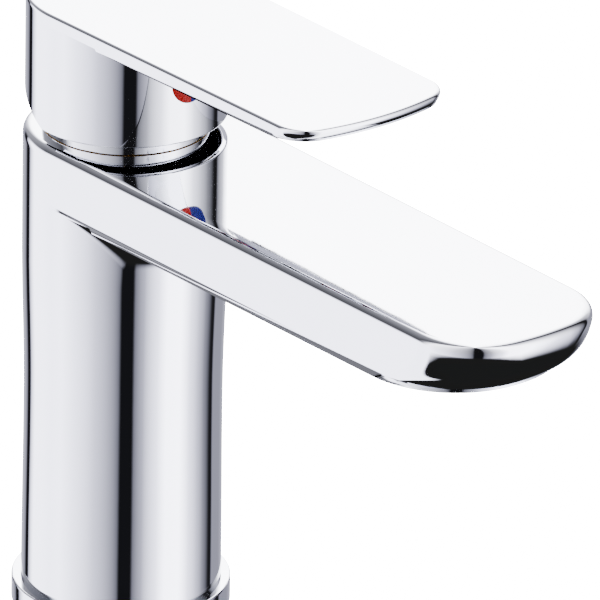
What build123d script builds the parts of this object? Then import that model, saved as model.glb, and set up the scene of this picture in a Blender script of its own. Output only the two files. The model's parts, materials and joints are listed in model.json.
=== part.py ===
"""Single-lever basin mixer, as the pieces it comes apart into on a bench.

Millimetres. +Z is up, the spout points along -Y, and the origin is on the body's
axis in the plane of the deck that the mixer stands on.
"""
import os
from math import asin, atan2, cos, hypot, radians, sin, sqrt, tan

from build123d import *

# ---- body and spout ----------------------------------------------------------
GASKET_H = 1.0            # foam gasket under the base ring
RING_H = 6.0              # base ring
BODY_H = 110.0            # from the base ring to the flat top
BODY_R = 23.0             # at the top, where the spout grows out of it
WAIST_R = BODY_R - 0.65   # slimmest place of the body
WAIST_SHARE = 0.42        # its height as a share of the body's
FOOT_R = BODY_R - 0.35    # at the base ring
FOOT_CHAMFER = 0.8
SPOUT_REACH = 144.0       # from the axis to the middle of the spout's front
SPOUT_CROWN = 4.0         # how far the front bulges past its corners
SPOUT_TIP_HALF = 21.8     # half width at the corners
SPOUT_CORNER_R = 13.0
SPOUT_H = 14.0            # thickness of the spout
SPOUT_BOW_FLAT = 3.0      # upright part of the front, under the top
SPOUT_BOW_BACK = 9.0      # how far the front is undercut at the bottom
BOW_BELLY = (0.36, 0.48)  # a point of the undercut, as shares of its depth and height
TOP_ROUND = 2.0           # rounding round the flat top
CORBEL_R = 7.0            # hollow blend between the body and the spout's underside
WELD = 0.3                # how far the blends and walls run into each other

# ---- inside the body ---------------------------------------------------------
TOWER_WALL = 4.0          # wall of the hollow lower body
BRIDGE_T = 26.0           # bridge between the hollow and the cartridge chamber
GALLERY_STEP = 1.8        # ring channel round the cartridge, wider than it by this much
GALLERY_LOW = 1.0         # its start above the chamber floor
THREAD_LENGTH = 7.0       # of the retaining nut's thread in the body
INLET_X = 7.5
INLET_Y = -4.0
INLET_THREAD_R = 5.0      # M10 x 1
INLET_THREAD_DEPTH = 12.0
INLET_PASSAGE_R = 2.7
STUD_Y = 10.0
STUD_R = 4.0              # M8
STUD_THREAD_DEPTH = 12.0
DUCT_HALF_W = 15.0        # water duct inside the spout
DUCT_BOTTOM_GAP = 2.5     # floor of the duct, above the spout's underside
DUCT_H = 8.0
DUCT_BACK_WALL = 3.0      # between the duct and the tower's outside
DUCT_FRONT_WALL = 6.0     # between the duct and the aerator's bore
DUCT_MOUTH_HALF_W = 9.0   # opening from the gallery to the duct
DUCT_MOUTH_H = 2.8
CROSSOVER_H = 2.2         # low duct over the aerator
CROSSOVER_HALF_W = 8.0

# ---- aerator -----------------------------------------------------------------
AERATOR_INSET = 26.0      # from the spout's front to the aerator's centre
AERATOR_THREAD_R = 12.0   # M24 x 1
AERATOR_BORE_DEPTH = 8.2
AERATOR_COLLAR = 1.5      # how much wider than the thread the collar is
AERATOR_FLANGE_H = 1.8
AERATOR_WALL = 1.6
AERATOR_LIP = 0.8         # inward lip that carries the insert
AERATOR_THREAD_L = 5.8
AERATOR_FIT = 0.1
SCREEN_H = 0.4
SCREEN_HOLE_R = 0.6
SCREEN_PITCH = 2.0
INSERT_HOLE_R = 1.15
INSERT_PITCH = 3.1
WASHER_W = 2.2

# ---- base --------------------------------------------------------------------
RING_R = FOOT_R + 2.15
RING_BORE_R = 18.2
RING_ROUND = 0.5
GASKET_R = RING_R - 0.6
FOOT_SEAL_R = 0.9         # cross-section radius of the seal ring under the body
FOOT_SEAL_MAJOR = FOOT_R - 2.25
GROOVE_PLAY = 0.1

# ---- cartridge ---------------------------------------------------------------
CARTRIDGE_R = 17.5        # 35 mm cartridge
CARTRIDGE_FIT = 0.2
CART_BASE_H = 6.0
CUP_WALL = 2.0
COLLAR_STEP = 2.3         # the housing's collar is narrower than the cup
COLLAR_WALL = 1.95
FIXED_DISC_H = 4.0
FIXED_DISC_PLAY = 0.7     # between the fixed disc and the cup
MOVING_DISC_H = 3.5
MOVING_DISC_Y = 3.5       # behind the axis when shut
MOVING_DISC_PLAY = 1.0    # between the moving disc and the cup when shut
MIX_POCKET_DEPTH = 1.8
MIX_POCKET_RIM = 1.6
MIX_POCKET_FRONT = 2.5    # ahead of the moving disc's centre
MIX_POCKET_BACK = 6.0     # behind it
FILM = 0.02               # water film between the ceramic discs
COUPLER_STEP = 1.0        # the coupler is smaller than the moving disc
COUPLER_H = 7.0
DRUM_FIT = 0.05           # running fit of the turning carrier
DRUM_H = 5.8
DRUM_GAP = 0.4            # above the coupler
DRUM_PLAY = 0.2           # below the housing's deck
NECK_STEP = 2.3           # the carrier's neck is narrower than its drum
NECK_GAP = 0.4
HOUSING_TOP_OVER = 2.0    # housing above the flat top
NECK_TOP_OVER = 4.0       # carrier above the flat top
PORT_Y = 6.0              # outlet port
PORT_R = 2.7
PORT_SEAL_R = 0.7
PORT_SEAL_MAJOR = 3.9
PORT_SEAL_PLAY = 0.05
OUTLET_FLOOR = 2.0        # under the outlet's slot in the cartridge's foot
OUTLET_H = 2.2

# ---- stem and its pivot ------------------------------------------------------
LIFT = 25.0               # degrees that the lever lifts
PIVOT_BELOW_TOP = 2.0
STEM_HALF = 4.0           # 8 mm square stem
STEM_SLOT_GAP = 0.2
STEM_SOCKET_GAP = 0.05
STEM_END_GAP = 0.5
STEM_TOP_OVER = 22.0      # above the flat top
STEM_ROOT = 5.0           # square part below the pivot
ARM = 10.0                # from the pivot to the ball
ARM_R = 1.8
BALL_R = 2.5
BALL_COVER = 1.5          # coupler above the ball's centre
BALL_POCKET_GAP = 0.35
BALL_POCKET_DEPTH = 4.6
PIN_R = 1.5
PIN_END_COVER = 1.3
PIN_FIT = 0.05
PIN_PRESS_GAP = 0.01
SLOT_PLAY = 0.8

# ---- retaining nut and cover -------------------------------------------------
NUT_STEP = 1.4            # M38 thread on a 35 mm cartridge
NUT_BORE_GAP = 0.2
NUT_TOP_OVER = 5.0
NUT_NOTCH_W = 3.0
NUT_NOTCH_H = 2.5
NUT_NOTCHES = 6
NUT_SEAL_R = 0.95
NUT_SEAL_PLAY = 0.05
COVER_INSET = 0.1         # narrower than the nut
COVER_WALL = 1.4
COVER_FIT = 0.2
COVER_H = 8.5
COVER_LIP = 2.0
COVER_LIP_H = 1.3
COVER_ROUND = 0.6

# ---- lever handle ------------------------------------------------------------
HANDLE_GAP = 3.3          # between the flat top and the skirt's lip
HANDLE_R = BODY_R - 0.4
HANDLE_H = 28.3           # from the lip to the top of the plate
SKIRT_WALL = 1.4
PLATE_H = 2.8
LEVER_REACH = 88.5
LEVER_CROWN = 3.5
LEVER_TIP_HALF = 20.8
LEVER_CORNER_R = 9.0
LEVER_TOP_ROUND = 0.8
LEVER_CORBEL_R = 4.0
RELIEF_SLOPE = 26.6       # degrees, rear of the skirt, so that the lever can lift
RELIEF_START_Y = 1.0
LIP_ROUND = 0.4
BOSS_WALL = 4.0           # on each side of the stem
BOSS_BACK_WALL = 2.5
BOSS_BOTTOM_OVER = 15.0   # above the flat top
BOSS_BEAM_OVER = 11.0     # its deeper front part above the flat top
BUTTON_OVER = 17.3        # centre of the indicator above the flat top
BUTTON_R = 5.0
BUTTON_H = 2.4
BUTTON_FIT = 0.08
BUTTON_PROUD = 0.25
SCREW_R = 2.5             # M5 set screw
SCREW_L = 8.0
SCREW_FIT = 0.1
SCREW_KEY_R = 1.25
SCREW_KEY_DEPTH = 3.0

# ---- fixing under the deck ---------------------------------------------------
STUD_BELOW = 70.0         # stud below the deck plane
DECK_T = 30.0             # thickness of the deck that the clamp is set for
PAD_H = 3.0
PLATE_T = 2.5
CLAMP_R = 24.0
CLAMP_SLOT_R = 13.0
CLAMP_SLOT_Y = -6.0
FIXING_NUT_FLATS = 13.0
FIXING_NUT_H = 20.0
STUD_FIT = 0.25
THREAD_GAP = 0.05

# ---- levels and radii that follow --------------------------------------------
RING_Z = GASKET_H
BODY_Z = RING_Z + RING_H
TOP_Z = BODY_Z + BODY_H
SPOUT_Z = TOP_Z - SPOUT_H
AERATOR_Y = AERATOR_INSET - SPOUT_REACH
AERATOR_BORE_R = AERATOR_THREAD_R + THREAD_GAP
PIVOT_Z = TOP_Z - PIVOT_BELOW_TOP
COUPLER_TOP_Z = PIVOT_Z - ARM + BALL_COVER
COUPLER_Z = COUPLER_TOP_Z - COUPLER_H
MOVING_DISC_Z = COUPLER_Z - MOVING_DISC_H
FIXED_DISC_Z = MOVING_DISC_Z - FILM - FIXED_DISC_H
CHAMBER_FLOOR_Z = FIXED_DISC_Z - CART_BASE_H
BRIDGE_Z = CHAMBER_FLOOR_Z - BRIDGE_T
DRUM_Z = COUPLER_TOP_Z + DRUM_GAP
NECK_Z = DRUM_Z + DRUM_H
NUT_Z = TOP_Z - THREAD_LENGTH
NUT_SEAL_Z = NUT_Z - NUT_SEAL_PLAY - NUT_SEAL_R
HOUSING_SHOULDER_Z = NUT_SEAL_Z - NUT_SEAL_R - NUT_SEAL_PLAY
GALLERY_TOP_Z = HOUSING_SHOULDER_Z - 0.5
HANDLE_Z = TOP_Z + HANDLE_GAP
LEVER_Z = HANDLE_Z + HANDLE_H
BUTTON_Z = TOP_Z + BUTTON_OVER
BORE_R = CARTRIDGE_R + CARTRIDGE_FIT
GALLERY_R = CARTRIDGE_R + GALLERY_STEP
HOUSING_BORE_R = CARTRIDGE_R - CUP_WALL
HOUSING_COLLAR_R = CARTRIDGE_R - COLLAR_STEP
DRUM_R = HOUSING_COLLAR_R - COLLAR_WALL - DRUM_FIT
NECK_R = DRUM_R - NECK_STEP
PIN_HALF = NECK_R - PIN_END_COVER
FIXED_DISC_R = HOUSING_BORE_R - FIXED_DISC_PLAY
MOVING_DISC_R = HOUSING_BORE_R - MOVING_DISC_Y - MOVING_DISC_PLAY
COUPLER_R = MOVING_DISC_R - COUPLER_STEP
NUT_R = CARTRIDGE_R + NUT_STEP
NUT_BORE_R = HOUSING_COLLAR_R + NUT_BORE_GAP
COVER_R = NUT_R - COVER_INSET
NUT_NECK_R = COVER_R - COVER_WALL - COVER_FIT


def rod(radius, low, high, x=0.0, y=0.0):
    """An upright cylinder between two levels."""
    return Pos(x, y, (low + high) / 2) * Cylinder(radius, high - low)


def tube(outer, inner, low, high, x=0.0, y=0.0):
    """An upright pipe between two levels."""
    return rod(outer, low, high, x, y) - rod(inner, low - 1, high + 1, x, y)


def block(x0, x1, y0, y1, z0, z1):
    """A box given by its faces."""
    middle = Pos((x0 + x1) / 2, (y0 + y1) / 2, (z0 + z1) / 2)
    return middle * Box(x1 - x0, y1 - y0, z1 - z0)


def seal_ring(major, minor, z, x=0.0, y=0.0):
    """A round-section rubber ring lying flat."""
    return Pos(x, y, z) * Torus(major, minor)


def tongue(root_r, tip_half, reach, crown, corner_r):
    """Outline of a round end whose tangents run to a narrower, bowed front with round corners."""
    corner_y = reach - crown
    lean = asin(root_r / hypot(corner_y, tip_half)) - atan2(tip_half, corner_y)
    tx, ty = root_r * cos(lean), -root_r * sin(lean)
    right = (tip_half, -corner_y)
    left = (-tip_half, -corner_y)
    outline = [
        Line((tx, ty), right),
        ThreePointArc(right, (0, -reach), left),
        Line(left, (-tx, ty)),
        ThreePointArc((-tx, ty), (0, root_r), (tx, ty)),
    ]
    face = make_face(outline)
    corners = face.vertices().sort_by(Axis.Y)[0:2]
    return fillet(corners, corner_r)


def prism(face, low, high):
    """An outline stood upright between two levels."""
    return extrude(Pos(0, 0, low) * face, amount=high - low)


def corbel(radius, blend, z, outline):
    """Hollow blend under a tongue: a ring with a concave profile, kept inside the tongue's outline."""
    profile = make_face([
        Line((radius - 1, z), (radius + blend, z)),
        RadiusArc((radius + blend, z), (radius, z - blend), -blend),
        Line((radius, z - blend), (radius - 1, z - blend)),
        Line((radius - 1, z - blend), (radius - 1, z)),
    ])
    ring = revolve(Plane.XZ * profile, axis=Axis.Z)
    return ring & prism(outline, z - blend - 1, z)


def body_shell():
    """Outside of the casting: waisted tower and flat spout in one."""
    side = make_face([
        Line((0, BODY_Z), (FOOT_R - FOOT_CHAMFER, BODY_Z)),
        Line((FOOT_R - FOOT_CHAMFER, BODY_Z), (FOOT_R, BODY_Z + FOOT_CHAMFER)),
        ThreePointArc(
            (FOOT_R, BODY_Z + FOOT_CHAMFER), (WAIST_R, BODY_Z + WAIST_SHARE * BODY_H), (BODY_R, SPOUT_Z)),
        Line((BODY_R, SPOUT_Z), (0, SPOUT_Z)),
        Line((0, SPOUT_Z), (0, BODY_Z)),
    ])
    tower = revolve(Plane.XZ * side, axis=Axis.Z)
    outline = tongue(BODY_R, SPOUT_TIP_HALF, SPOUT_REACH, SPOUT_CROWN, SPOUT_CORNER_R)
    slab = prism(outline, SPOUT_Z, TOP_Z)
    slab = fillet(slab.faces().sort_by(Axis.Z)[-1].edges(), TOP_ROUND)
    front, back = -SPOUT_REACH, BODY_R + 1
    belly_y = front + SPOUT_BOW_BACK * BOW_BELLY[0]
    belly_z = SPOUT_Z + (SPOUT_H - SPOUT_BOW_FLAT) * BOW_BELLY[1]
    bow = make_face([
        Line((back, SPOUT_Z), (front + SPOUT_BOW_BACK, SPOUT_Z)),
        ThreePointArc(
            (front + SPOUT_BOW_BACK, SPOUT_Z),
            (belly_y, belly_z),
            (front, TOP_Z - SPOUT_BOW_FLAT)),
        Line((front, TOP_Z - SPOUT_BOW_FLAT), (front, TOP_Z)),
        Line((front, TOP_Z), (back, TOP_Z)),
        Line((back, TOP_Z), (back, SPOUT_Z)),
    ])
    slab = slab & extrude(Plane.YZ * bow, amount=2 * BODY_R, both=True)
    return tower + slab + corbel(BODY_R - WELD, CORBEL_R, SPOUT_Z + WELD, outline)


def waterways():
    """Everything that is cut out of the casting."""
    cuts = [
        rod(FOOT_R - TOWER_WALL, BODY_Z - 1, BRIDGE_Z),
        rod(BORE_R, CHAMBER_FLOOR_Z, NUT_Z + 1),
        rod(GALLERY_R, CHAMBER_FLOOR_Z + GALLERY_LOW, GALLERY_TOP_Z),
        rod(NUT_R + THREAD_GAP, NUT_Z, TOP_Z + 1),
        rod(STUD_R + THREAD_GAP, BRIDGE_Z - 1, BRIDGE_Z + STUD_THREAD_DEPTH, y=STUD_Y),
    ]
    for x in (-INLET_X, INLET_X):
        cuts.append(rod(INLET_THREAD_R, BRIDGE_Z - 1, BRIDGE_Z + INLET_THREAD_DEPTH, x, INLET_Y))
        cuts.append(rod(INLET_PASSAGE_R, BRIDGE_Z, CHAMBER_FLOOR_Z + 1, x, INLET_Y))
    duct_z = SPOUT_Z + DUCT_BOTTOM_GAP
    duct_front = AERATOR_Y + AERATOR_BORE_R + DUCT_FRONT_WALL
    duct_back = -BODY_R - DUCT_BACK_WALL
    crossover_z = SPOUT_Z + AERATOR_BORE_DEPTH
    cuts.append(block(-DUCT_MOUTH_HALF_W, DUCT_MOUTH_HALF_W, duct_back - 1, DUCT_MOUTH_HALF_W - GALLERY_R,
                      GALLERY_TOP_Z - DUCT_MOUTH_H, GALLERY_TOP_Z))
    cuts.append(block(-DUCT_HALF_W, DUCT_HALF_W, duct_front, duct_back, duct_z, duct_z + DUCT_H))
    cuts.append(block(-CROSSOVER_HALF_W, CROSSOVER_HALF_W, AERATOR_Y - DUCT_FRONT_WALL, duct_front + 1,
                      crossover_z, crossover_z + CROSSOVER_H))
    cuts.append(rod(AERATOR_BORE_R, SPOUT_Z - 1, crossover_z, y=AERATOR_Y))
    return cuts


def body():
    """Brass casting: tower, spout, cartridge chamber, inlets and aerator seat."""
    shape = body_shell()
    for cut in waterways():
        shape = shape - cut
    return shape


def base_ring():
    """Ring that the body stands on, with a groove for the seal under the body."""
    ring = tube(RING_R, RING_BORE_R, RING_Z, BODY_Z)
    top_edge = ring.edges().filter_by(GeomType.CIRCLE).group_by(Axis.Z)[-1].sort_by(SortBy.RADIUS)[-1]
    ring = fillet(top_edge, RING_ROUND)
    groove = 2 * FOOT_SEAL_R
    half = FOOT_SEAL_R + GROOVE_PLAY
    return ring - tube(FOOT_SEAL_MAJOR + half, FOOT_SEAL_MAJOR - half, BODY_Z - groove, BODY_Z + 1)


def foot_seal():
    """Rubber ring between the body and the base ring."""
    return seal_ring(FOOT_SEAL_MAJOR, FOOT_SEAL_R, BODY_Z - FOOT_SEAL_R)


def base_gasket():
    """Flat gasket between the base ring and the deck."""
    return tube(GASKET_R, RING_BORE_R, 0, GASKET_H)


def lever_handle():
    """Skirt, plate and stem boss of the lever, cast in one."""
    outline = tongue(HANDLE_R, LEVER_TIP_HALF, LEVER_REACH, LEVER_CROWN, LEVER_CORNER_R)
    plate_z = LEVER_Z - PLATE_H
    plate = prism(outline, plate_z, LEVER_Z)
    plate = fillet(plate.faces().sort_by(Axis.Z)[-1].edges(), LEVER_TOP_ROUND)
    inner = HANDLE_R - SKIRT_WALL
    skirt = rod(HANDLE_R, HANDLE_Z, plate_z + WELD)
    skirt = fillet(skirt.edges().sort_by(Axis.Z)[0], LIP_ROUND)
    shape = plate + skirt + corbel(HANDLE_R - WELD, LEVER_CORBEL_R, plate_z + WELD, outline)
    shape = shape - rod(inner, HANDLE_Z - 1, plate_z)
    boss_half = STEM_HALF + BOSS_WALL
    boss_back = STEM_HALF + BOSS_BACK_WALL
    boss_top = plate_z + WELD
    boss = block(-boss_half, boss_half, -STEM_HALF, boss_back, TOP_Z + BOSS_BOTTOM_OVER, boss_top)
    beam = block(-boss_half, boss_half, -HANDLE_R, -STEM_HALF, TOP_Z + BOSS_BEAM_OVER, boss_top)
    shape = shape + boss + (beam & rod(HANDLE_R - WELD, HANDLE_Z, LEVER_Z))
    fall = HANDLE_R * 2 * tan(radians(RELIEF_SLOPE))
    relief = make_face(Polyline(
        (RELIEF_START_Y, HANDLE_Z), (RELIEF_START_Y + 2 * HANDLE_R, HANDLE_Z + fall),
        (RELIEF_START_Y + 2 * HANDLE_R, HANDLE_Z - 2), (RELIEF_START_Y, HANDLE_Z - 2), close=True))
    shape = shape - extrude(Plane.YZ * relief, amount=2 * HANDLE_R, both=True)
    socket = STEM_HALF + STEM_SOCKET_GAP
    shape = shape - block(-socket, socket, -socket, socket, HANDLE_Z, TOP_Z + STEM_TOP_OVER + STEM_END_GAP)
    drill = Plane.XZ.offset(STEM_HALF - 1) * Circle(SCREW_R + SCREW_FIT)
    pocket = Plane.XZ.offset(HANDLE_R - BUTTON_H) * Circle(BUTTON_R + BUTTON_FIT)
    shape = shape - Pos(0, 0, BUTTON_Z) * extrude(drill, amount=HANDLE_R)
    return shape - Pos(0, 0, BUTTON_Z) * extrude(pocket, amount=BUTTON_H + 2)


def indicator_button():
    """Round plug with the hot and cold mark, over the set screw."""
    disc = extrude(Plane.XZ.offset(HANDLE_R - BUTTON_H) * Circle(BUTTON_R), amount=BUTTON_H + 2)
    return (Pos(0, 0, BUTTON_Z) * disc) & rod(HANDLE_R + BUTTON_PROUD, HANDLE_Z, LEVER_Z)


def handle_set_screw():
    """Set screw that locks the handle on the stem, with a hexagon socket."""
    screw = extrude(Plane.XZ.offset(STEM_HALF) * Circle(SCREW_R), amount=SCREW_L)
    key = Plane.XZ.offset(STEM_HALF + SCREW_L - SCREW_KEY_DEPTH) * RegularPolygon(SCREW_KEY_R, 6)
    return Pos(0, 0, BUTTON_Z) * (screw - extrude(key, amount=SCREW_KEY_DEPTH + 1))


def cartridge_cover():
    """Polished ring that hides the retaining nut."""
    inner = COVER_R - COVER_WALL
    top = TOP_Z + COVER_H
    ring = rod(COVER_R, TOP_Z + THREAD_GAP, top)
    ring = fillet(ring.edges().sort_by(Axis.Z)[-1], COVER_ROUND)
    ring = ring - rod(inner, TOP_Z, top - COVER_LIP_H)
    return ring - rod(inner - COVER_LIP, TOP_Z, top + 1)


def cartridge_nut():
    """Brass nut that presses the cartridge into the body."""
    top = TOP_Z + NUT_TOP_OVER
    nut = tube(NUT_R, NUT_BORE_R, NUT_Z, TOP_Z) + tube(NUT_NECK_R, NUT_BORE_R, TOP_Z, top)
    half = NUT_NOTCH_W / 2
    notch = block(NUT_BORE_R - 1, NUT_NECK_R + 1, -half, half, top - NUT_NOTCH_H, top + 1)
    for turn in range(NUT_NOTCHES):
        nut = nut - Rot(0, 0, turn * 360 / NUT_NOTCHES) * notch
    return nut


def nut_seal():
    """Rubber ring on the cartridge's shoulder, under the nut."""
    return seal_ring(HOUSING_COLLAR_R + NUT_SEAL_PLAY + NUT_SEAL_R, NUT_SEAL_R, NUT_SEAL_Z)


def cartridge_housing():
    """Plastic cup over the discs, with a collar for the turning carrier."""
    top = TOP_Z + HOUSING_TOP_OVER
    cup = rod(CARTRIDGE_R, FIXED_DISC_Z, HOUSING_SHOULDER_Z) + rod(HOUSING_COLLAR_R, HOUSING_SHOULDER_Z - 1, top)
    cup = cup - rod(HOUSING_BORE_R, FIXED_DISC_Z - 1, DRUM_Z - DRUM_GAP / 2)
    cup = cup - rod(DRUM_R + DRUM_FIT, DRUM_Z - DRUM_GAP, NECK_Z + DRUM_PLAY)
    return cup - rod(NECK_R + NECK_GAP, DRUM_Z, top + 1)


def port_places():
    """The two inlet ports and the outlet port of the cartridge."""
    return [(-INLET_X, INLET_Y), (INLET_X, INLET_Y), (0.0, PORT_Y)]


def cartridge_base():
    """Plastic foot of the cartridge: two inlets from below, the outlet leaves at its rim."""
    foot = rod(CARTRIDGE_R, CHAMBER_FLOOR_Z, FIXED_DISC_Z)
    groove_in = PORT_SEAL_MAJOR - PORT_SEAL_R - PORT_SEAL_PLAY
    groove_out = PORT_SEAL_MAJOR + PORT_SEAL_R + PORT_SEAL_PLAY
    for x, y in port_places():
        foot = foot - tube(groove_out, groove_in, FIXED_DISC_Z - 2 * PORT_SEAL_R, FIXED_DISC_Z + 1, x, y)
    for x, y in port_places()[0:2]:
        foot = foot - rod(PORT_R, CHAMBER_FLOOR_Z - 1, FIXED_DISC_Z + 1, x, y)
        foot = foot - tube(groove_out, groove_in, CHAMBER_FLOOR_Z - 1, CHAMBER_FLOOR_Z + 2 * PORT_SEAL_R, x, y)
    outlet_z = CHAMBER_FLOOR_Z + OUTLET_FLOOR
    foot = foot - rod(PORT_R, outlet_z, FIXED_DISC_Z + 1, 0, PORT_Y)
    return foot - block(-PORT_R, PORT_R, PORT_Y, CARTRIDGE_R + 1, outlet_z, outlet_z + OUTLET_H)


def inlet_seals():
    """Rubber rings between the cartridge's foot and the chamber floor."""
    z = CHAMBER_FLOOR_Z + PORT_SEAL_R
    return Compound(children=[seal_ring(PORT_SEAL_MAJOR, PORT_SEAL_R, z, x, y) for x, y in port_places()[0:2]])


def disc_seals():
    """Rubber rings between the cartridge's foot and the fixed disc."""
    z = FIXED_DISC_Z - PORT_SEAL_R
    return Compound(children=[seal_ring(PORT_SEAL_MAJOR, PORT_SEAL_R, z, x, y) for x, y in port_places()])


def fixed_disc():
    """Ceramic disc with the three ports."""
    disc = rod(FIXED_DISC_R, FIXED_DISC_Z, FIXED_DISC_Z + FIXED_DISC_H)
    for x, y in port_places():
        disc = disc - rod(PORT_R, FIXED_DISC_Z - 1, FIXED_DISC_Z + FIXED_DISC_H + 1, x, y)
    return disc


def moving_disc():
    """Ceramic disc whose pocket joins the ports as it slides forward."""
    disc = rod(MOVING_DISC_R, MOVING_DISC_Z, COUPLER_Z, y=MOVING_DISC_Y)
    pocket_half = INLET_X + 1.0
    pocket = block(-pocket_half, pocket_half, MOVING_DISC_Y - MIX_POCKET_FRONT, MOVING_DISC_Y + MIX_POCKET_BACK,
                   MOVING_DISC_Z - 1, MOVING_DISC_Z + MIX_POCKET_DEPTH)
    return disc - (pocket & rod(MOVING_DISC_R - MIX_POCKET_RIM, MOVING_DISC_Z - 1, COUPLER_Z, y=MOVING_DISC_Y))


def disc_coupler():
    """Plastic carrier on the moving disc, with the pocket for the stem's ball."""
    half = BALL_R + BALL_POCKET_GAP
    shape = rod(COUPLER_R, COUPLER_Z, COUPLER_TOP_Z, y=MOVING_DISC_Y / 2)
    return shape - block(-half, half, -half, half, COUPLER_TOP_Z - BALL_POCKET_DEPTH, COUPLER_TOP_Z + 1)


def stem_carrier():
    """Turning carrier: a drum and a neck with the slot and pin bore for the stem."""
    neck_top = TOP_Z + NECK_TOP_OVER
    shape = rod(DRUM_R, DRUM_Z, NECK_Z) + rod(NECK_R, NECK_Z - 1, neck_top)
    half = STEM_HALF + STEM_SLOT_GAP
    swing = radians(LIFT)
    front = STEM_HALF * cos(swing) + STEM_ROOT * sin(swing) + SLOT_PLAY
    back = (STEM_HALF + (neck_top - PIVOT_Z) * sin(swing)) / cos(swing) + SLOT_PLAY
    shape = shape - block(-half, half, -front, back, DRUM_Z - 1, neck_top + 1)
    pin_bore = extrude(Plane.YZ * Circle(PIN_R + PIN_PRESS_GAP), amount=PIN_HALF + PIN_FIT, both=True)
    return shape - Pos(0, 0, PIVOT_Z) * pin_bore


def stem_pin():
    """Steel pin that the stem rocks on."""
    return Pos(0, 0, PIVOT_Z) * extrude(Plane.YZ * Circle(PIN_R), amount=PIN_HALF, both=True)


def cartridge_stem():
    """Square stem with its ball-ended arm."""
    shape = block(-STEM_HALF, STEM_HALF, -STEM_HALF, STEM_HALF, PIVOT_Z - STEM_ROOT, TOP_Z + STEM_TOP_OVER)
    shape = shape + rod(ARM_R, PIVOT_Z - ARM, PIVOT_Z - STEM_ROOT + 1)
    shape = shape + Pos(0, 0, PIVOT_Z - ARM) * Sphere(BALL_R)
    bore = extrude(Plane.YZ * Circle(PIN_R + PIN_FIT), amount=STEM_HALF + 1, both=True)
    return shape - Pos(0, 0, PIVOT_Z) * bore


def aerator_housing():
    """Threaded aerator sleeve with the collar that shows under the spout."""
    inner = AERATOR_THREAD_R - AERATOR_WALL
    bottom = SPOUT_Z - AERATOR_FLANGE_H
    top = SPOUT_Z + AERATOR_THREAD_L
    flange = rod(AERATOR_THREAD_R + AERATOR_COLLAR, bottom, SPOUT_Z, y=AERATOR_Y)
    flange = fillet(flange.edges().sort_by(Axis.Z)[0], AERATOR_COLLAR / 3)
    sleeve = flange + rod(AERATOR_THREAD_R, SPOUT_Z - WELD, top, y=AERATOR_Y)
    sleeve = sleeve - rod(inner, bottom + AERATOR_LIP, top + 1, y=AERATOR_Y)
    return sleeve - rod(inner - AERATOR_LIP, bottom - 1, top, y=AERATOR_Y)


def hole_grid(pitch, radius):
    """Places of a triangular grid inside a circle."""
    row_step = pitch * sqrt(3) / 2
    rows = int(radius / row_step)
    places = []
    for row in range(-rows, rows + 1):
        shift = pitch / 2 if row % 2 else 0.0
        columns = int(radius / pitch) + 1
        for column in range(-columns, columns + 1):
            x, y = column * pitch + shift, row * row_step
            if hypot(x, y) <= radius:
                places.append((x, y))
    return places


def aerator_insert():
    """Plastic honeycomb that breaks up the stream."""
    radius = AERATOR_THREAD_R - AERATOR_WALL - AERATOR_FIT
    low = SPOUT_Z - AERATOR_FLANGE_H + AERATOR_LIP + AERATOR_FIT
    high = SPOUT_Z + AERATOR_THREAD_L - SCREEN_H - AERATOR_FIT
    insert = rod(radius, low, high, y=AERATOR_Y)
    holes = [rod(INSERT_HOLE_R, low - 1, high + 1, x, AERATOR_Y + y)
             for x, y in hole_grid(INSERT_PITCH, radius - INSERT_HOLE_R - 1.0)]
    return insert - holes


def aerator_screen():
    """Fine steel screen on the insert."""
    radius = AERATOR_THREAD_R - AERATOR_WALL - AERATOR_FIT
    low = SPOUT_Z + AERATOR_THREAD_L - SCREEN_H
    screen = rod(radius, low, low + SCREEN_H, y=AERATOR_Y)
    holes = [rod(SCREEN_HOLE_R, low - 1, low + 1, x, AERATOR_Y + y)
             for x, y in hole_grid(SCREEN_PITCH, radius - SCREEN_PITCH)]
    return screen - holes


def aerator_washer():
    """Rubber washer between the aerator and its seat."""
    low = SPOUT_Z + AERATOR_THREAD_L
    return tube(AERATOR_THREAD_R, AERATOR_THREAD_R - WASHER_W, low, SPOUT_Z + AERATOR_BORE_DEPTH, y=AERATOR_Y)


def fixing_stud():
    """Threaded rod from the bridge down through the deck."""
    return rod(STUD_R, -STUD_BELOW, BRIDGE_Z + STUD_THREAD_DEPTH - STUD_FIT, y=STUD_Y)


def horseshoe(low, high, radius):
    """Crescent round the hoses, with the stud's hole at its middle."""
    shape = rod(radius, low, high)
    shape = shape - rod(CLAMP_SLOT_R, low - 1, high + 1, y=CLAMP_SLOT_Y)
    shape = shape - block(-CLAMP_SLOT_R, CLAMP_SLOT_R, -radius - 1, CLAMP_SLOT_Y, low - 1, high + 1)
    return shape - rod(STUD_R + STUD_FIT, low - 1, high + 1, y=STUD_Y)


def clamp_pad():
    """Rubber pad under the deck."""
    return horseshoe(-DECK_T - PAD_H, -DECK_T, CLAMP_R)


def clamp_plate():
    """Steel plate under the pad."""
    return horseshoe(-DECK_T - PAD_H - PLATE_T, -DECK_T - PAD_H, CLAMP_R)


def fixing_nut():
    """Long hexagon nut on the stud."""
    top = -DECK_T - PAD_H - PLATE_T
    bottom = top - FIXING_NUT_H
    hexagon = Pos(0, STUD_Y) * RegularPolygon(FIXING_NUT_FLATS / 2, 6, major_radius=False)
    return prism(hexagon, bottom, top) - rod(STUD_R + THREAD_GAP, bottom - 1, top + 1, y=STUD_Y)


MAKERS = [
    body, base_ring, foot_seal, base_gasket,
    lever_handle, indicator_button, handle_set_screw,
    cartridge_cover, cartridge_nut, nut_seal,
    cartridge_housing, cartridge_base, inlet_seals, disc_seals, fixed_disc, moving_disc, disc_coupler,
    stem_carrier, stem_pin, cartridge_stem,
    aerator_housing, aerator_insert, aerator_screen, aerator_washer,
    fixing_stud, clamp_pad, clamp_plate, fixing_nut,
]

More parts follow.
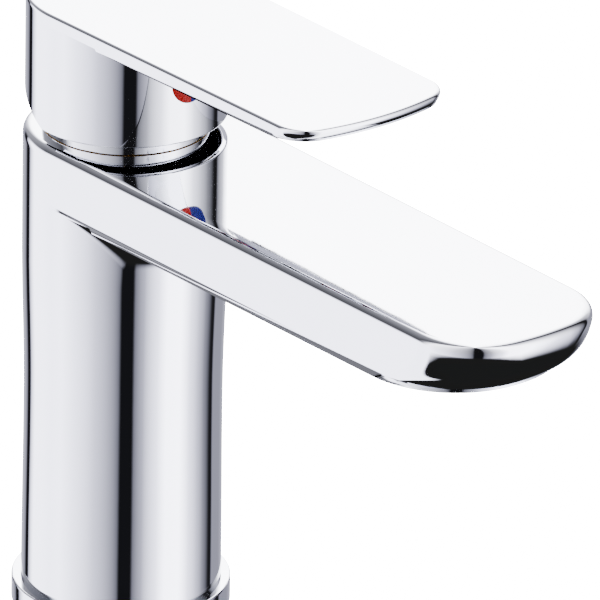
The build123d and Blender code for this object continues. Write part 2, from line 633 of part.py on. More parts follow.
os.makedirs("parts", exist_ok=True)
for make in MAKERS:
    piece = make()
    export_step(piece, f"parts/{make.__name__}.step")
    print(f"{make.__name__:20s} {piece.volume / 1000:9.3f} cm3")
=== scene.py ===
# %% [markdown]
# # A single-lever basin mixer
# The engineering model is a fixed frame: every visible piece is placed by its levels and radii.
# Chrome is a mirror, so a piece is only as good as its surface normals. The large castings are
# therefore lofted and spun into even rows of faces instead of being cut out of a block.

# %% Load the frame
import bpy
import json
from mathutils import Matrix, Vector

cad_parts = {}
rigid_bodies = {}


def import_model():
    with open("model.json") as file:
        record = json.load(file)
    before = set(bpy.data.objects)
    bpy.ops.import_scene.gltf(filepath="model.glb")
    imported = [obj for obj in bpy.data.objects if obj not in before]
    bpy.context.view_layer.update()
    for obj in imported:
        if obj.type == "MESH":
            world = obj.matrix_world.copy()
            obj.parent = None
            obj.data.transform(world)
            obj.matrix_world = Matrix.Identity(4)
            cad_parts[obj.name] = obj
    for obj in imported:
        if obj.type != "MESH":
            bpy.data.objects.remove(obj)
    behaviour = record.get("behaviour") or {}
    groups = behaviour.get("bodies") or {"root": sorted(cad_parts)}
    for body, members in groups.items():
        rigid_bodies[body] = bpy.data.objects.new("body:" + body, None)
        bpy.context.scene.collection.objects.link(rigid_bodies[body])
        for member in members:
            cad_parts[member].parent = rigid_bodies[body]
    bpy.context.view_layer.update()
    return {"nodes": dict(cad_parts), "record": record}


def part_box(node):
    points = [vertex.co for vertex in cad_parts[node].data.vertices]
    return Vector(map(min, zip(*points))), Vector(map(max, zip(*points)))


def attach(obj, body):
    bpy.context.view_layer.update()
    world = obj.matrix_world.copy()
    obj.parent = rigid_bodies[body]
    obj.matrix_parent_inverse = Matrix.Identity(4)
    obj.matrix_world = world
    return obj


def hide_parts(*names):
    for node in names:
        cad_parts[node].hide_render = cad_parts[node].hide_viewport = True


for starter in list(bpy.data.objects):
    bpy.data.objects.remove(starter)
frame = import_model()

import json
from math import asin, atan2, cos, hypot, pi, radians, sin, tan

import bmesh
from mathutils import Matrix, Vector

MM = 0.001

# %% [markdown]
# The levels come from the frame's own boxes. What a box can't tell, such as a blend or a wall, is
# a size of the casting, written here once in millimetres.

# %% Levels and sizes
def low(node):
    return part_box(node)[0] / MM

def high(node):
    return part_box(node)[1] / MM

BODY_FOOT = low("body").z
BODY_TOP = high("body").z
SPOUT_FRONT = -low("body").y
SPOUT_THICK = 14.0
SPOUT_UNDER = BODY_TOP - SPOUT_THICK
BODY_R = high("body").y
LEVER_LIP = low("lever_handle").z
LEVER_TOP = high("lever_handle").z
LEVER_R = high("lever_handle").y
LEVER_FRONT = -low("lever_handle").y
PLATE = 2.8
print(f"body {BODY_FOOT:.1f}-{BODY_TOP:.1f} mm, lever {LEVER_LIP:.1f}-{LEVER_TOP:.1f} mm")
print(f"radii {BODY_R:.2f} and {LEVER_R:.2f} mm")

# %% [markdown]
# A finished bmesh becomes an object that lies at the origin, as the frame's own pieces do. Its
# faces are smooth, edges past 30 degrees stay sharp, and weighted normals keep the flats flat, so
# that a mirror finish shows no ripple beside a rounding. A face with many corners is cut into
# triangles first, because a hollow outline can otherwise be cut across the open part.

# %% Finish a piece
MANY_CORNERS = 8
MERGE = 0.0005
def finish_piece(bm, name, body, nodes, sharp=30):
    bmesh.ops.remove_doubles(bm, verts=bm.verts, dist=MERGE)
    bmesh.ops.recalc_face_normals(bm, faces=bm.faces)
    bmesh.ops.scale(bm, vec=(MM, MM, MM), verts=bm.verts)
    for face in bm.faces:
        face.smooth = True
    many = [f for f in bm.faces if len(f.verts) > MANY_CORNERS]
    bmesh.ops.triangulate(bm, faces=many, quad_method="BEAUTY", ngon_method="BEAUTY")
    for edge in bm.edges:
        if len(edge.link_faces) == 2 and edge.calc_face_angle() > radians(sharp):
            edge.smooth = False
    mesh = bpy.data.meshes.new(name)
    open_edges = sum(len(edge.link_faces) != 2 for edge in bm.edges)
    bm.to_mesh(mesh)
    bm.free()
    piece = bpy.data.objects.new(name, mesh)
    bpy.context.collection.objects.link(piece)
    weigh = piece.modifiers.new("Weighted normals", "WEIGHTED_NORMAL")
    weigh.keep_sharp = True
    weigh.weight = 80
    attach(piece, body)
    if nodes:
        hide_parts(*nodes)
    print(f"{name}: {len(mesh.polygons)} faces, {open_edges} open edges")
    return piece

# %% [markdown]
# Most of the tap is turned or nearly so: a profile of radii and levels, spun round an upright axis.
# A full spin merges its seam, a part spin leaves two open ends for its neighbour to weld to.

# %% Turn a profile round the axis
def spin_profile(bm, points, centre_y=0.0, start=0.0, sweep=2 * pi, steps=144):
    """Spin a line of (radius, level) points; start and sweep are angles from +X."""
    turn = Matrix.Rotation(start, 3, "Z")
    centre = Vector((0, centre_y, 0))
    verts = [bm.verts.new(turn @ Vector((r, 0, z)) + centre) for r, z in points]
    edges = [bm.edges.new(pair) for pair in zip(verts, verts[1:])]
    full = abs(sweep - 2 * pi) < 1e-6
    bmesh.ops.spin(
        bm, geom=verts + edges, cent=centre, axis=(0, 0, 1), dvec=(0, 0, 0), angle=sweep, steps=steps,
        use_merge=full, use_normal_flip=False, use_duplicate=False)
    bmesh.ops.remove_doubles(bm, verts=bm.verts, dist=MERGE)

def arc(centre, radius, first, last, steps):
    """Points of a profile's arc, by its angles in degrees."""
    angles = [radians(first + (last - first) * i / steps) for i in range(steps + 1)]
    return [(centre[0] + radius * cos(a), centre[1] + radius * sin(a)) for a in angles]

# %% [markdown]
# The spout and the lever are the same idea at two sizes: seen from above, a round end whose
# tangents run forward to a slightly bowed front with round corners. `outline` draws that shape by
# spinning one vertex for each arc. The two front corners are spun too, round a centre worked out to
# touch both the side and the bow, because a vertex bevel is held back by the bow's short edges.

# %% Draw one outline
BACK_STEPS = 96
BOW_STEPS = 16
CORNER_STEPS = 14

def lean_of(root, tip, drop):
    return asin(root / hypot(drop, tip)) - atan2(tip, drop)

def sweep_vertex(bm, seed, centre, angle, steps):
    """Spin one vertex round an upright axis and return the last one it leaves behind."""
    made = bmesh.ops.spin(
        bm, geom=[seed], cent=centre, axis=(0, 0, 1), dvec=(0, 0, 0), angle=angle, steps=steps,
        use_merge=False, use_normal_flip=False, use_duplicate=False)
    return made["geom_last"][0]

def outline(bm, root, tip, reach, crown, corner, z):
    """One closed outline at a level. Returns its edges."""
    known = set(bm.edges)
    drop = reach - crown
    lean = lean_of(root, tip, drop)
    bow = (tip ** 2 + crown ** 2) / (2 * crown)
    outward = Vector((cos(lean), -sin(lean), 0))
    ahead = Vector((-sin(lean), -cos(lean), 0))
    bow_centre = Vector((0, bow - reach, z))
    base = outward * (root - corner) + Vector((0, 0, z))
    gap = base - bow_centre
    along = gap.dot(ahead)
    run = -along + (along ** 2 - gap.length_squared + (bow - corner) ** 2) ** 0.5
    centre = base + ahead * run
    spoke = centre - bow_centre
    turn = -lean - atan2(spoke.y, spoke.x)
    back = bm.verts.new((root * cos(lean), -root * sin(lean), z))
    back_end = sweep_vertex(bm, back, (0, 0, z), pi + 2 * lean, BACK_STEPS)
    left = centre + outward * corner
    side = bm.verts.new((-left.x, left.y, z))
    bow_start = sweep_vertex(bm, side, (-centre.x, centre.y, z), turn, CORNER_STEPS)
    bow_end = sweep_vertex(bm, bow_start, bow_centre, pi + 2 * atan2(spoke.y, spoke.x), BOW_STEPS)
    side_end = sweep_vertex(bm, bow_end, centre, turn, CORNER_STEPS)
    bm.edges.new((back_end, side))
    bm.edges.new((side_end, back))
    return [edge for edge in bm.edges if edge not in known]

# %% [markdown]
# A tongue is lofted through a stack of such outlines. Towards the top each one is smaller, which
# rounds the rim; towards the bottom the front draws back and its corners open, which gives the
# spout its undercut nose. Below it stands the round tower, whose wall is spun in two sweeps: the
# back runs straight up into the tongue's round end, and the front flares out under the tongue. The
# flare grows from nothing at the two tangent lines, so it never reaches past the tongue's sides.

# %% Loft a tongue on a tower
FRONT_STEPS = 80
NEAR = 0.01          # two levels closer than this are the same
WELD = 0.004
SIDE_ROOM = 0.38     # how fast the flare widens; under 0.5 it stays inside the tongue's sides
DROP_GROWTH = 1.25   # how fast it deepens
LINE_START = 17.0    # the lower edges stay sharp this far ahead of the tower
THIN = 1.0           # a flare narrower than this keeps a crease along its edge
ROUNDED_PAST = radians(12)

def level_edge(edge, level):
    return all(abs(v.co.z - level) < NEAR for v in edge.verts)

def reach_of(vert):
    return hypot(vert.co.x, vert.co.y)

def tongue_on_tower(bm, plan, levels, wall, flare, under_round, blend_steps=12):
    """plan: (root, tip, reach, crown, corner). levels: (inset, draw back, corner growth, z) from the
    top down. wall: the tower's profile below the flare. flare: its full radius. under_round: the
    radius on the tongue's lower edges."""
    root, tip, reach, crown, corner = plan
    lean = lean_of(root, tip, reach - crown)
    under = levels[-1][3]
    rings = [outline(bm, root - inset, tip - inset + back * tan(lean), reach - inset - back,
                     crown, corner - inset + growth, z) for inset, back, growth, z in levels]
    for above, below in zip(rings, rings[1:]):
        bmesh.ops.bridge_loops(bm, edges=above + below)
    spin_profile(bm, wall + [(root, under)], start=-lean, sweep=pi + 2 * lean, steps=BACK_STEPS)
    known = set(bm.verts)
    bell = arc((root + flare, under - flare), flare, 180, 90, blend_steps)
    spin_profile(bm, wall + bell, start=pi + lean, sweep=pi - 2 * lean, steps=FRONT_STEPS)
    for vert in [v for v in bm.verts if v not in known and v.co.z > under - flare - NEAR]:
        angle = atan2(vert.co.y, vert.co.x)
        past = min(angle + pi - lean, -lean - angle) if angle < 0 else 0.0
        out_share = min(1.0, SIDE_ROOM * root / flare * max(past, 0.0) ** 2)
        drop_share = min(1.0, DROP_GROWTH * max(past, 0.0) ** 2)
        out = root + out_share * (reach_of(vert) - root)
        vert.co = (out * cos(angle), out * sin(angle), under + drop_share * (vert.co.z - under))
    bmesh.ops.remove_doubles(bm, verts=bm.verts, dist=WELD)
    rim = [e for e in bm.edges if len(e.link_faces) == 1 and level_edge(e, under)]
    bmesh.ops.contextual_create(bm, geom=rim)
    # where the flare is still too thin to shade, its edge stays a crease
    for edge in rim:
        ahead = max(v.co.y for v in edge.verts) < NEAR - root * sin(lean)
        if ahead and max(map(reach_of, edge.verts)) < root + THIN:
            edge.smooth = False
    # the lower edges are rounded from a little way ahead of the tower
    for edge in [e for e in bm.edges if level_edge(e, under) and e.calc_length() > 4 * LINE_START]:
        near = max(edge.verts, key=lambda v: v.co.y)
        bmesh.utils.edge_split(edge, near, LINE_START / edge.calc_length())
    lower = [e for e in bm.edges if level_edge(e, under) and len(e.link_faces) == 2
             and e.calc_face_angle() > ROUNDED_PAST and max(v.co.y for v in e.verts) < -LINE_START
             and min(map(reach_of, e.verts)) > root + 0.2]
    bmesh.ops.bevel(bm, geom=lower, offset=under_round, offset_type="OFFSET", segments=4, profile=0.5,
                    affect="EDGES", material=-1, clamp_overlap=False)
    print("tongue at", round(under, 2), "lower edges rounded:", len(lower))

# %% [markdown]
# The body is one brass casting, polished and plated. Its nose: the front stays upright for a few
# millimetres under the rim, then runs back in a bow that steepens while the corners open. The
# tower narrows a little to a waist, and a bore for the cartridge is sunk into its top.

# %% The tap's body
RIM = 2.0
UPRIGHT = 2.6
NOSE_BACK = 8.8
NOSE_OPENING = 5.0
SPOUT_PLAN = (BODY_R, 21.8, SPOUT_FRONT, 4.0, 16.0)
FLARE = 12.0
WAIST_R = BODY_R - 0.65
FOOT_R = BODY_R - 0.35
FOOT_CHAMFER = 0.8
HOLLOW_R = FOOT_R - 4.0
HOLLOW_TOP = BODY_FOOT + 53.0
WAIST_Z = BODY_FOOT + 46.0
BLEND_Z = SPOUT_UNDER - FLARE
BORE_R = 18.95
BORE_FLOOR = BODY_TOP - 31.0
EDGE_ROUND = 1.0
WALL_STEPS = 10

def rim_levels(radius, top, steps=6):
    """Insets and levels of a rounded rim, from the top down."""
    angles = [pi / 2 * i / steps for i in range(steps, -1, -1)]
    return [(radius * (1 - cos(a)), 0.0, 0.0, top - radius + radius * sin(a)) for a in angles]

def nose_levels(top, under, back, opening, steps=12):
    """The bow from the upright front to the underside, drawing back faster towards the bottom."""
    levels = []
    for i in range(1, steps + 1):
        t = i / steps
        drawn = back * (0.08 * t + 0.32 * t ** 2 + 0.6 * t ** 3)
        levels.append((0.0, drawn, opening * t, top + (under - top) * t))
    return levels

spout_levels = rim_levels(RIM, BODY_TOP) + [(0.0, 0.0, 0.0, BODY_TOP - UPRIGHT)]
spout_levels += nose_levels(BODY_TOP - UPRIGHT, SPOUT_UNDER, NOSE_BACK, NOSE_OPENING)

def eased(a, b, t):
    return a + (b - a) * (1 - cos(pi * t)) / 2

def rise_of(low_r, high_r, low_z, high_z, last):
    """Points up a wall that eases from one radius to another."""
    parts = [i / WALL_STEPS for i in range(1, last + 1)]
    return [(eased(low_r, high_r, t), low_z + (high_z - low_z) * t) for t in parts]

wall = [(0.0, HOLLOW_TOP), (HOLLOW_R, HOLLOW_TOP), (HOLLOW_R, BODY_FOOT),
        (FOOT_R - FOOT_CHAMFER, BODY_FOOT), (FOOT_R, BODY_FOOT + FOOT_CHAMFER)]
wall += rise_of(FOOT_R, WAIST_R, BODY_FOOT + FOOT_CHAMFER, WAIST_Z, WALL_STEPS)
wall += rise_of(WAIST_R, BODY_R, WAIST_Z, BLEND_Z, WALL_STEPS - 1)

bm = bmesh.new()
tongue_on_tower(bm, SPOUT_PLAN, spout_levels, wall, FLARE, EDGE_ROUND)

def round_edges(bm, edges, size, steps=4):
    bmesh.ops.bevel(bm, geom=edges, offset=size, offset_type="OFFSET", segments=steps, profile=0.5,
                    affect="EDGES", material=-1, clamp_overlap=True)

spin_profile(bm, [(0, BORE_FLOOR), (BORE_R, BORE_FLOOR), (BORE_R, BODY_TOP)])
rim = [e for e in bm.edges if len(e.link_faces) == 1]
bmesh.ops.triangle_fill(bm, edges=rim, use_beauty=True, use_dissolve=False, normal=(0, 0, 1))
body_piece = finish_piece(bm, "tap_body_casting", "tap_body", ["body"])

# %% [markdown]
# The lever repeats the body's plan at a smaller size: a thin plate that grows out of a hollow skirt.
# The skirt's rear edge is cut away on a slope, so that the lever can tip back without touching the
# body. One bisecting plane makes that cut, and one face closes it.

# %% The lever
LEVER_PLAN = (LEVER_R, 21.5, LEVER_FRONT, 3.5, 8.0)
PLATE_UNDER = LEVER_TOP - PLATE
SKIRT_BORE = LEVER_R - 1.4
LIP_ROUND = 0.4
RELIEF = radians(26.6)
RELIEF_START = 1.0
PLATE_ROUND = 0.8
LEVER_FLARE = 6.0
LEVER_EDGE_ROUND = 0.5
lever_levels = rim_levels(PLATE_ROUND, LEVER_TOP) + nose_levels(LEVER_TOP - 0.9, PLATE_UNDER, 1.2, 1.5, 4)
skirt = [(0.0, PLATE_UNDER), (SKIRT_BORE, PLATE_UNDER), (SKIRT_BORE, LEVER_LIP + LIP_ROUND)]
skirt += arc((SKIRT_BORE + LIP_ROUND, LEVER_LIP + LIP_ROUND), LIP_ROUND, 180, 270, 4)[1:]
skirt += arc((LEVER_R - LIP_ROUND, LEVER_LIP + LIP_ROUND), LIP_ROUND, 270, 360, 4)
bm = bmesh.new()
tongue_on_tower(bm, LEVER_PLAN, lever_levels, skirt, LEVER_FLARE, LEVER_EDGE_ROUND)
bmesh.ops.contextual_create(bm, geom=[e for e in bm.edges if len(e.link_faces) == 1])
bmesh.ops.bisect_plane(
    bm, geom=bm.verts[:] + bm.edges[:] + bm.faces[:], dist=0.0008, plane_co=(0, RELIEF_START, LEVER_LIP),
    plane_no=(0, sin(RELIEF), -cos(RELIEF)), use_snap_center=False, clear_outer=True, clear_inner=False)
bmesh.ops.contextual_create(bm, geom=[e for e in bm.edges if len(e.link_faces) == 1])
lever_piece = finish_piece(bm, "lever_casting", "lever", ["lever_handle"])

# %% [markdown]
# The small turned parts are one spin each, and their corners are rounded with a bevel.

# %% Rings: base ring, cartridge cover and aerator collar
def turned(name, body, nodes, points, rounding, centre_y=0.0, steps=144):
    bm = bmesh.new()
    spin_profile(bm, points + points[:1], centre_y=centre_y, steps=steps)
    bmesh.ops.recalc_face_normals(bm, faces=bm.faces)
    corners = [e for e in bm.edges if len(e.link_faces) == 2 and e.calc_face_angle() > radians(60)]
    round_edges(bm, corners, rounding, 3)
    return finish_piece(bm, name, body, nodes)

RING_TOP, RING_LOW, RING_R = high("base_ring").z, low("base_ring").z, high("base_ring").x
ring_piece = turned("base_ring_turned", "tap_body", ["base_ring"], [
    (18.2, RING_LOW), (RING_R, RING_LOW), (RING_R, RING_TOP), (18.2, RING_TOP)], 0.45)
COVER_TOP, COVER_LOW, COVER_R = high("cartridge_cover").z, low("cartridge_cover").z, high("cartridge_cover").x
cover_piece = turned("cartridge_cover_spun", "tap_body", ["cartridge_cover"], [
    (COVER_R - 1.4, COVER_LOW), (COVER_R, COVER_LOW), (COVER_R, COVER_TOP),
    (COVER_R - 3.4, COVER_TOP), (COVER_R - 3.4, COVER_TOP - 1.3), (COVER_R - 1.4, COVER_TOP - 1.3)], 0.3)
AERATOR_LOW, AERATOR_TOP = low("aerator_housing").z, high("aerator_housing").z
AERATOR_R = high("aerator_housing").x
AERATOR_Y = (low("aerator_housing").y + high("aerator_housing").y) / 2
collar_piece = turned("aerator_collar_turned", "tap_body", ["aerator_housing"], [
    (AERATOR_R - 3.9, AERATOR_LOW), (AERATOR_R, AERATOR_LOW), (AERATOR_R, SPOUT_UNDER),
    (AERATOR_R - 1.5, SPOUT_UNDER), (AERATOR_R - 1.5, AERATOR_TOP), (AERATOR_R - 3.1, AERATOR_TOP),
    (AERATOR_R - 3.1, AERATOR_LOW + 0.8), (AERATOR_R - 3.9, AERATOR_LOW + 0.8)], 0.25, AERATOR_Y, 96)

# %% [markdown]
# The hot and cold mark is a plug with a slightly domed face that follows the skirt's curve. A plane
# through its middle splits the face, so that each half takes its own enamel.

# %% The hot and cold mark
BUTTON_LOW, BUTTON_HIGH = low("indicator_button"), high("indicator_button")
BUTTON_R = (BUTTON_HIGH.z - BUTTON_LOW.z) / 2
BUTTON_Z = (BUTTON_HIGH.z + BUTTON_LOW.z) / 2
bm = bmesh.new()
PLUG = 2.4
spin_profile(bm, [(0, 0), (BUTTON_R, 0), (BUTTON_R, PLUG - 0.4), (BUTTON_R * 0.93, PLUG - 0.1),
                  (BUTTON_R * 0.6, PLUG), (0, PLUG)], steps=64)
bmesh.ops.bisect_plane(bm, geom=bm.verts[:] + bm.edges[:] + bm.faces[:], dist=0.0008, plane_co=(0, 0, 0),
                       plane_no=(1, 0, 0), use_snap_center=False, clear_outer=False, clear_inner=False)
bmesh.ops.rotate(bm, cent=(0, 0, 0), matrix=Matrix.Rotation(pi / 2, 3, "X"), verts=bm.verts)
bmesh.ops.translate(bm, vec=(0, BUTTON_LOW.y + PLUG, BUTTON_Z), verts=bm.verts)
for vert in bm.verts:
    vert.co.y += LEVER_R - (LEVER_R ** 2 - vert.co.x ** 2) ** 0.5
button_piece = finish_piece(bm, "hot_cold_mark", "lever", ["indicator_button"], 50)

# %% [markdown]
# A material is a few nodes round the Principled shader. One function turns a hex colour to linear,
# and one adds a node with its settings and links.

# %% Material helpers
def colour(code):
    parts = [int(code[i:i + 2], 16) / 255 for i in (1, 3, 5)]
    return tuple(c / 12.92 if c <= 0.04045 else ((c + 0.055) / 1.055) ** 2.4 for c in parts) + (1.0,)

def add(tree, kind, settings=(), **links):
    node = tree.nodes.new(kind)
    for key, value in dict(settings).items():
        setattr(node, key, value)
    for key, value in links.items():
        by_number = key[0] == "i" and key[1:].isdigit()
        socket = node.inputs[int(key[1:]) if by_number else key.replace("_", " ")]
        if isinstance(value, bpy.types.NodeSocket):
            tree.links.new(value, socket)
        else:
            socket.default_value = value
    return node

def material(name, base, metallic, roughness, spread=0.0, grain_mm=1.0, bump=0.0, stretch=(1, 1, 1), **extra):
    """A Principled material whose roughness and height vary over grains of grain_mm."""
    made = bpy.data.materials.new(name)
    made.use_nodes = True
    tree = made.node_tree
    shader = tree.nodes["Principled BSDF"]
    shader.inputs["Metallic"].default_value = metallic
    for key, value in extra.items():
        shader.inputs[key.replace("_", " ")].default_value = value
    place = add(tree, "ShaderNodeTexCoord").outputs["Object"]
    scaled = add(tree, "ShaderNodeMapping", Vector=place, Scale=stretch).outputs[0]
    noise = add(tree, "ShaderNodeTexNoise", Vector=scaled, Scale=1 / (grain_mm * MM), Detail=3.0).outputs["Fac"]
    shade = add(tree, "ShaderNodeMapRange", i0=noise, i3=1 - spread, i4=1.0).outputs[0]
    multiply = {"data_type": "RGBA", "blend_type": "MULTIPLY"}
    tint = add(tree, "ShaderNodeMix", multiply, i0=1.0, i6=colour(base), i7=shade)
    tree.links.new(tint.outputs[2], shader.inputs["Base Color"])
    rough = add(tree, "ShaderNodeMapRange", i0=noise, i3=roughness * (1 - spread), i4=roughness * (1 + spread))
    tree.links.new(rough.outputs[0], shader.inputs["Roughness"])
    if bump:
        bumped = add(tree, "ShaderNodeBump", Height=noise, Strength=1.0, Distance=bump * MM)
        tree.links.new(bumped.outputs[0], shader.inputs["Normal"])
    return made

def dress(obj, *materials):
    obj.data.materials.clear()
    for item in materials:
        obj.data.materials.append(item)

# %% [markdown]
# Polished chrome plate: a hard blue-white mirror. Buffing leaves swells far too shallow to see by
# themselves; they only make the edges of a reflection waver a little.

# %% Chrome and the other finishes
# plated over polished brass and buffed: a hard mirror with only a trace of blur
chrome = material("Chrome plate on polished brass", "#F2F3F6", 1.0, 0.035, 0.05, 22.0, 0.02)
# plated over turned brass: the same mirror, a shade softer from the tool
trim = material("Chrome plate on turned brass", "#EEEFF3", 1.0, 0.05, 0.08, 9.0, 0.01)
# stoved enamel, deep and even, with little shine of its own so the colour stays full
hot = material("Red enamel", "#B5120F", 0.0, 0.3, 0.04, 1.2, 0.0, Specular_IOR_Level=0.12)
cold = material("Blue enamel", "#14177C", 0.0, 0.3, 0.04, 1.2, 0.0, Specular_IOR_Level=0.12)
# fresh from the lathe: warm, with fine rings that blur what it mirrors
brass = material("Turned brass", "#C9A75A", 1.0, 0.3, 0.15, 0.6, 0.01, (1, 1, 8))
# moulded and matt: nearly black, no highlight
rubber = material("Nitrile rubber", "#1B1B1C", 0.0, 0.6, 0.2, 0.4, 0.02)
# moulded, waxy white with a broad soft sheen
acetal = material("White acetal", "#E9E8E2", 0.0, 0.42, 0.08, 0.8, 0.01)
# moulded with glass fibre: dull grey, faintly grainy
nylon = material("Grey glass-filled nylon", "#6E7072", 0.0, 0.5, 0.12, 0.5, 0.015)
# lapped flat: ivory, with a tight gloss
ceramic = material("Lapped alumina", "#EDE9DE", 0.0, 0.15, 0.05, 0.5, 0.0)
# drawn through a die: grey, with fine lines along its length
steel = material("Drawn stainless steel", "#B9BBBD", 1.0, 0.32, 0.12, 0.4, 0.008, (1, 1, 0.1))
# plated in a barrel: a mottled, cloudy grey
zinc = material("Zinc-plated steel", "#B4B6B0", 1.0, 0.38, 0.18, 1.5, 0.01)
finishes = {
    "body_chrome": chrome, "trim_chrome": trim, "lever_chrome": chrome, "turned_brass": brass, "black_rubber": rubber,
    "white_plastic": acetal, "grey_plastic": nylon, "disc_ceramic": ceramic, "stainless": steel, "zinc_steel": zinc,
    "indicator_plastic": hot}
for piece in (body_piece, lever_piece):
    dress(piece, chrome)
for piece in (ring_piece, cover_piece, collar_piece):
    dress(piece, trim)
dress(button_piece, hot, cold)
for face in button_piece.data.polygons:
    face.material_index = 0 if face.center.x < 0 else 1
slot_of = {part["node"]: part["material_slot"] for part in frame["record"]["subparts"]}
for name, node in frame["nodes"].items():
    dress(node, finishes[slot_of[name]])
print(len(finishes), "finishes on", len(slot_of), "nodes")

# %% [markdown]
# The camera stands to the left of the spout and looks down on it with a long lens, so that upright
# edges stay nearly parallel. Its place is given by its bearing, height angle, roll and distance.

# %% Camera
BEARING, HEIGHT_ANGLE, ROLL = radians(-39.5), radians(23.9), radians(1.14)
DISTANCE = 2.2
AIM = Vector((0, 0, BODY_TOP)) * MM
AIM_RIGHT, AIM_DOWN = 38.5 * MM, 39.3 * MM
back = Vector((sin(BEARING) * cos(HEIGHT_ANGLE), -cos(BEARING) * cos(HEIGHT_ANGLE), sin(HEIGHT_ANGLE)))
level = Vector((cos(BEARING), sin(BEARING), 0))
upright = back.cross(level)
right = level * cos(ROLL) + upright * sin(ROLL)
up = back.cross(right)
camera_data = bpy.data.cameras.new("Camera")
camera = bpy.data.objects.new("Camera", camera_data)
bpy.context.collection.objects.link(camera)
turned_axes = Matrix((right, up, back)).transposed()
spot = AIM + right * AIM_RIGHT - up * AIM_DOWN + back * DISTANCE
camera.matrix_world = Matrix.Translation(spot) @ turned_axes.to_4x4()
camera_data.sensor_width = 36
camera_data.lens = 595.5
camera_data.clip_end = 50
bpy.context.scene.camera = camera
print("camera at", [round(v, 3) for v in spot])

# %% [markdown]
# Chrome shows the room, not itself. The studio is a world of soft white walls with black flags
# between them, laid out by bearing round the tap. The pale floor is left out of the reflections,
# so that the castings mirror the walls down to their feet.

# %% Studio
world = bpy.data.worlds.new("Studio")
bpy.context.scene.world = world
world.use_nodes = True
sky = world.node_tree
direction = add(sky, "ShaderNodeTexCoord").outputs["Generated"]
about = add(sky, "ShaderNodeVectorRotate", {"rotation_type": "Z_AXIS"}, Vector=direction, Angle=-BEARING).outputs[0]
parts = add(sky, "ShaderNodeSeparateXYZ", Vector=about).outputs
toward = add(sky, "ShaderNodeMath", {"operation": "MULTIPLY"}, i0=parts[1], i1=-1.0).outputs[0]
bearing = add(sky, "ShaderNodeMath", {"operation": "ARCTAN2"}, i0=parts[0], i1=toward).outputs[0]
around = add(sky, "ShaderNodeMapRange", i0=bearing, i1=-pi, i2=pi, i3=0.0, i4=1.0).outputs[0]
tilt = add(sky, "ShaderNodeMath", {"operation": "ARCSINE"}, i0=parts[2]).outputs[0]

def band_ramp(stops, cool=0.0):
    """stops: (bearing in degrees, brightness) from -180 to 180. cool: how much bluer the dim walls are."""
    ramp = add(sky, "ShaderNodeValToRGB", Fac=around)
    elements = ramp.color_ramp.elements
    while len(elements) > 1:
        elements.remove(elements[-1])
    for i, (angle, bright) in enumerate(stops):
        item = elements[0] if i == 0 else elements.new((angle + 180) / 360)
        item.position = (angle + 180) / 360
        level = bright / POWER
        item.color = (level, level, level * (1 + cool * (1 - level)), 1)
    return ramp.outputs[0]

POWER = 16.0
flank_and_front = [
    (-75, 4.8), (-58, 3.4), (-43, 2.4), (-32, 1.5), (-8, 0.4), (-4, 0.2), (-2, 0.01), (12, 0.01),
    (14, 0.25), (24, 0.8), (41, 3.2), (52, 6.8), (70, 7.2), (84, 2.8), (97, 1.2), (108, 0.4), (120, 0.02)]
low_walls = band_ramp([
    (-180, 0.9), (-165, 1.0), (-150, 0.5), (-146, 0.3), (-142, 0.01), (-135, 0.01), (-131, 1.6), (-122, 5.0),
    (-104, 5.0), (-90, 4.6)] + flank_and_front + [(126, 0.01), (129, 0.4), (150, 0.4), (180, 0.9)], 0.25)
high_walls = band_ramp([
    (-180, 11.0), (-170, 8.0), (-160, 2.0), (-150, 0.5), (-130, 0.35), (-110, 0.22), (-97, 0.1), (-88, 0.5)]
    + flank_and_front + [(127, 0.01), (131, 0.4), (145, 1.5), (160, 7.0), (180, 11.0)], 0.15)
def ease(value, first, last):
    """0 to 1 as an angle passes from first to last, in degrees."""
    return add(sky, "ShaderNodeMapRange", {"interpolation_type": "SMOOTHSTEP"},
               i0=value, i1=radians(first), i2=radians(last)).outputs[0]

rise = ease(tilt, -2, 14)
walls = add(sky, "ShaderNodeMix", {"data_type": "RGBA"}, i0=rise, i6=low_walls, i7=high_walls).outputs[2]
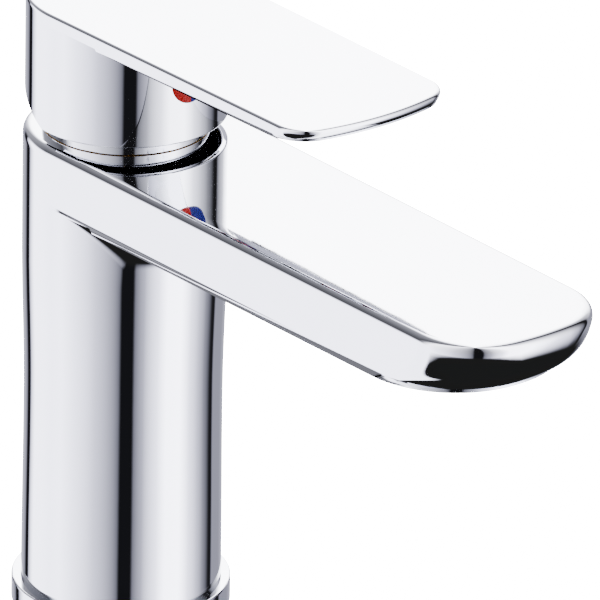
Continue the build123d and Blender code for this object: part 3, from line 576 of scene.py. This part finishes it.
# the walls end above the table, except on the left flank, where one comes down further
flank_in = ease(bearing, -112, -100)
flank_out = ease(bearing, -74, -92)
flank = add(sky, "ShaderNodeMath", {"operation": "MULTIPLY"}, i0=flank_in, i1=flank_out).outputs[0]
multiply_add = {"operation": "MULTIPLY_ADD"}
reach_down = add(sky, "ShaderNodeMath", multiply_add, i0=flank, i1=radians(34), i2=tilt).outputs[0]
lit = ease(reach_down, -40, -27)
room = add(sky, "ShaderNodeMix", {"data_type": "RGBA"}, i0=lit, i6=(0.001, 0.001, 0.001, 1), i7=walls).outputs[2]
ray = add(sky, "ShaderNodeLightPath").outputs
SOFT_LIGHT = 1.0
BACKDROP = 30.0
walls_lit = add(sky, "ShaderNodeBackground", Color=room, Strength=POWER).outputs[0]
soft_lit = add(sky, "ShaderNodeBackground", Color=(1, 1, 1, 1), Strength=SOFT_LIGHT).outputs[0]
backdrop = add(sky, "ShaderNodeBackground", Color=(1, 1, 1, 1), Strength=BACKDROP).outputs[0]
inner = add(sky, "ShaderNodeMixShader", i0=ray["Is Glossy Ray"], i1=soft_lit, i2=walls_lit).outputs[0]
outer = add(sky, "ShaderNodeMixShader", i0=ray["Is Camera Ray"], i1=inner, i2=backdrop).outputs[0]
sky.links.new(outer, sky.nodes["World Output"].inputs["Surface"])

# %% [markdown]
# The tap stands on a white paper sweep. It glows as bright as the backdrop, so that floor and wall
# read as one, and it neither shows in the chrome nor lights it.

# %% Floor
FLOOR_SIZE = 12.0
FLOOR_DROP = 0.0003
bm = bmesh.new()
bmesh.ops.create_grid(bm, x_segments=1, y_segments=1, size=FLOOR_SIZE)
bmesh.ops.translate(bm, vec=(0, 0, -FLOOR_DROP), verts=bm.verts)
floor_mesh = bpy.data.meshes.new("Floor")
bm.to_mesh(floor_mesh)
bm.free()
floor = bpy.data.objects.new("Floor", floor_mesh)
bpy.context.collection.objects.link(floor)
floor.visible_glossy = False
paper = bpy.data.materials.new("White paper sweep")
paper.use_nodes = True
sheet = paper.node_tree.nodes["Principled BSDF"].inputs
sheet["Base Color"].default_value = colour("#FAFAFA")
sheet["Roughness"].default_value = 0.9
sheet["Emission Color"].default_value = colour("#FFFFFF")
sheet["Emission Strength"].default_value = BACKDROP
floor.visible_diffuse = False
dress(floor, paper)
